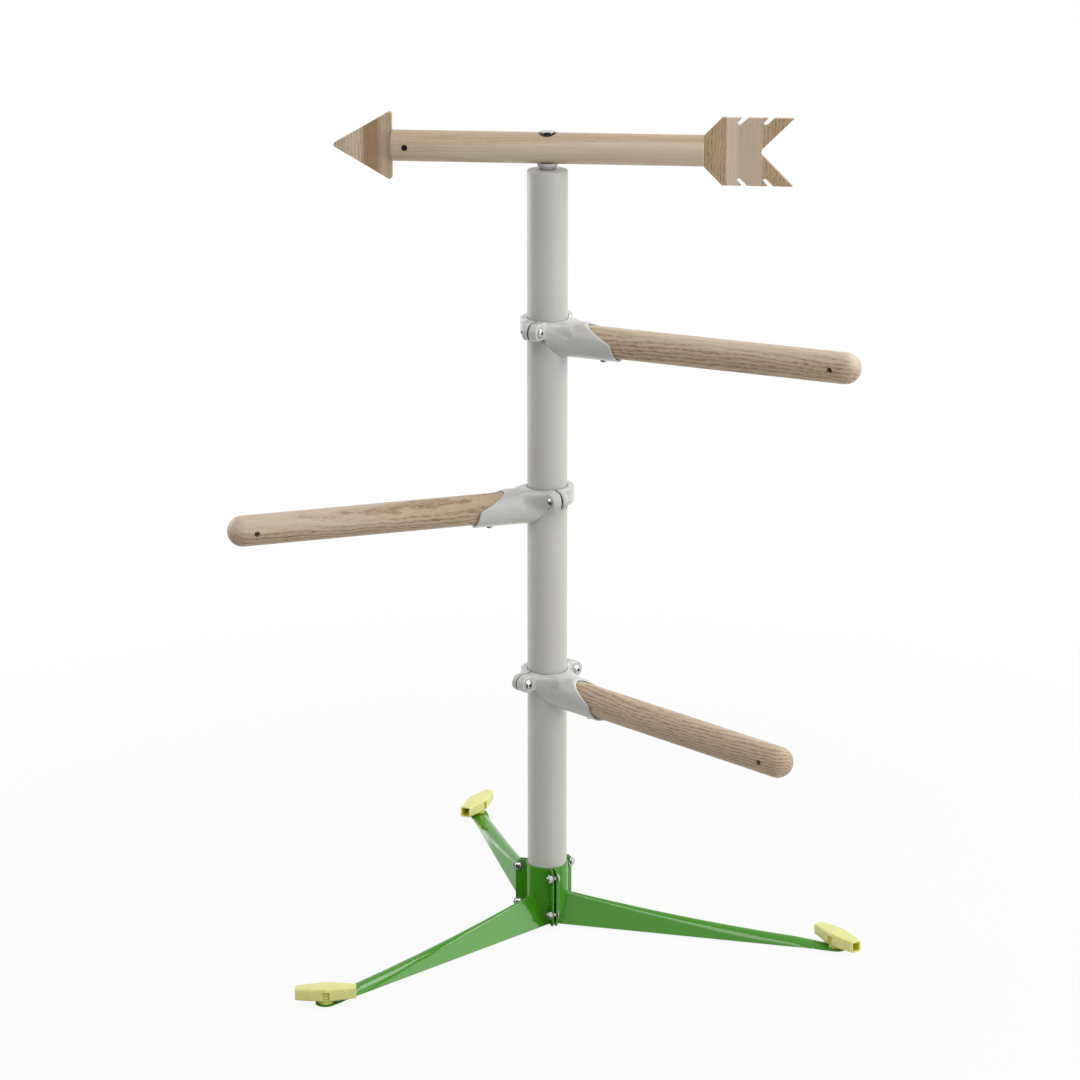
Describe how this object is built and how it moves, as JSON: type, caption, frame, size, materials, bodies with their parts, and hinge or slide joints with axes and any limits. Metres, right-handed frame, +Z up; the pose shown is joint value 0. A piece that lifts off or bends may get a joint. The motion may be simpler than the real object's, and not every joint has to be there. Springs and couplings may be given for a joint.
{
  "type": "freestanding chicken perch",
  "caption": "Free-standing perch for hens: a steel pole on pressed legs, round wooden rods in swinging cast clamps, and a wooden weather arrow that spins on top.",
  "frame": {"origin": "on the pole's axis at ground level", "axes": "+Z up along the pole, +X to the right and +Y to the back as the picture shows the stand"},
  "size_m": [0.7831, 0.7012, 1.0456],
  "materials": {
    "grey_paint": "satin powder coat, light warm grey",
    "grey_cast": "satin powder coat over cast aluminium, light warm grey",
    "grey_plastic": "moulded, light grey, satin",
    "green_paint": "gloss powder coat, leaf green",
    "yellow_plastic": "moulded, pale yellow green, slightly translucent",
    "perch_wood": "turned hardwood, oiled, grain along the bar",
    "plate_wood": "hardwood board, oiled, grain upright",
    "zinc_steel": "bright zinc plate",
    "dark_steel": "blackened"
  },
  "bodies": {
    "stand": {"pole": "grey_paint", "pole_cap": "grey_plastic", "arrow_nut": "zinc_steel", "arrow_spacer": "grey_plastic", "arrow_bolt": "zinc_steel", "leg_right": "green_paint", "leg_rear": "green_paint", "leg_left": "green_paint", "collar_bolts": "zinc_steel", "collar_nuts": "zinc_steel"},
    "arrow": {"arrow_shaft": "perch_wood", "arrow_head": "plate_wood", "arrow_tail": "plate_wood", "arrow_pin": "dark_steel"},
    "perch_low": {"perch_socket_low": "grey_cast", "perch_clamp_low": "grey_cast", "clamp_bolts_low": "zinc_steel", "clamp_nuts_low": "zinc_steel", "perch_rod_low": "perch_wood", "rod_screw_low": "zinc_steel"},
    "perch_mid": {"perch_socket_mid": "grey_cast", "perch_clamp_mid": "grey_cast", "clamp_bolts_mid": "zinc_steel", "clamp_nuts_mid": "zinc_steel", "perch_rod_mid": "perch_wood", "rod_screw_mid": "zinc_steel"},
    "perch_high": {"perch_socket_high": "grey_cast", "perch_clamp_high": "grey_cast", "clamp_bolts_high": "zinc_steel", "clamp_nuts_high": "zinc_steel", "perch_rod_high": "perch_wood", "rod_screw_high": "zinc_steel"},
    "ground_peg_right": {"peg_right": "yellow_plastic"},
    "ground_peg_rear": {"peg_rear": "yellow_plastic"},
    "ground_peg_left": {"peg_left": "yellow_plastic"}
  },
  "joints": [
    {"name": "arrow_spin", "type": "hinge", "parent": "stand", "child": "arrow", "pos_m": [0, 0, 1.0046], "axis": [0, 0, 1], "continuous": true},
    {"name": "perch_low_swing", "type": "hinge", "parent": "stand", "child": "perch_low", "pos_m": [0, 0, 0.3167], "axis": [0, 0, 1], "continuous": true},
    {"name": "perch_mid_swing", "type": "hinge", "parent": "stand", "child": "perch_mid", "pos_m": [0, 0, 0.5572], "axis": [0, 0, 1], "continuous": true},
    {"name": "perch_high_swing", "type": "hinge", "parent": "stand", "child": "perch_high", "pos_m": [0, 0, 0.7712], "axis": [0, 0, 1], "continuous": true},
    {"name": "peg_right_turn", "type": "hinge", "parent": "stand", "child": "ground_peg_right", "pos_m": [0.36701, -0.1004, 0.01], "axis": [0, 0, 1], "continuous": true},
    {"name": "peg_rear_turn", "type": "hinge", "parent": "stand", "child": "ground_peg_rear", "pos_m": [-0.09656, 0.36805, 0.01], "axis": [0, 0, 1], "continuous": true},
    {"name": "peg_left_turn", "type": "hinge", "parent": "stand", "child": "ground_peg_left", "pos_m": [-0.27046, -0.26764, 0.01], "axis": [0, 0, 1], "continuous": true}
  ]
}
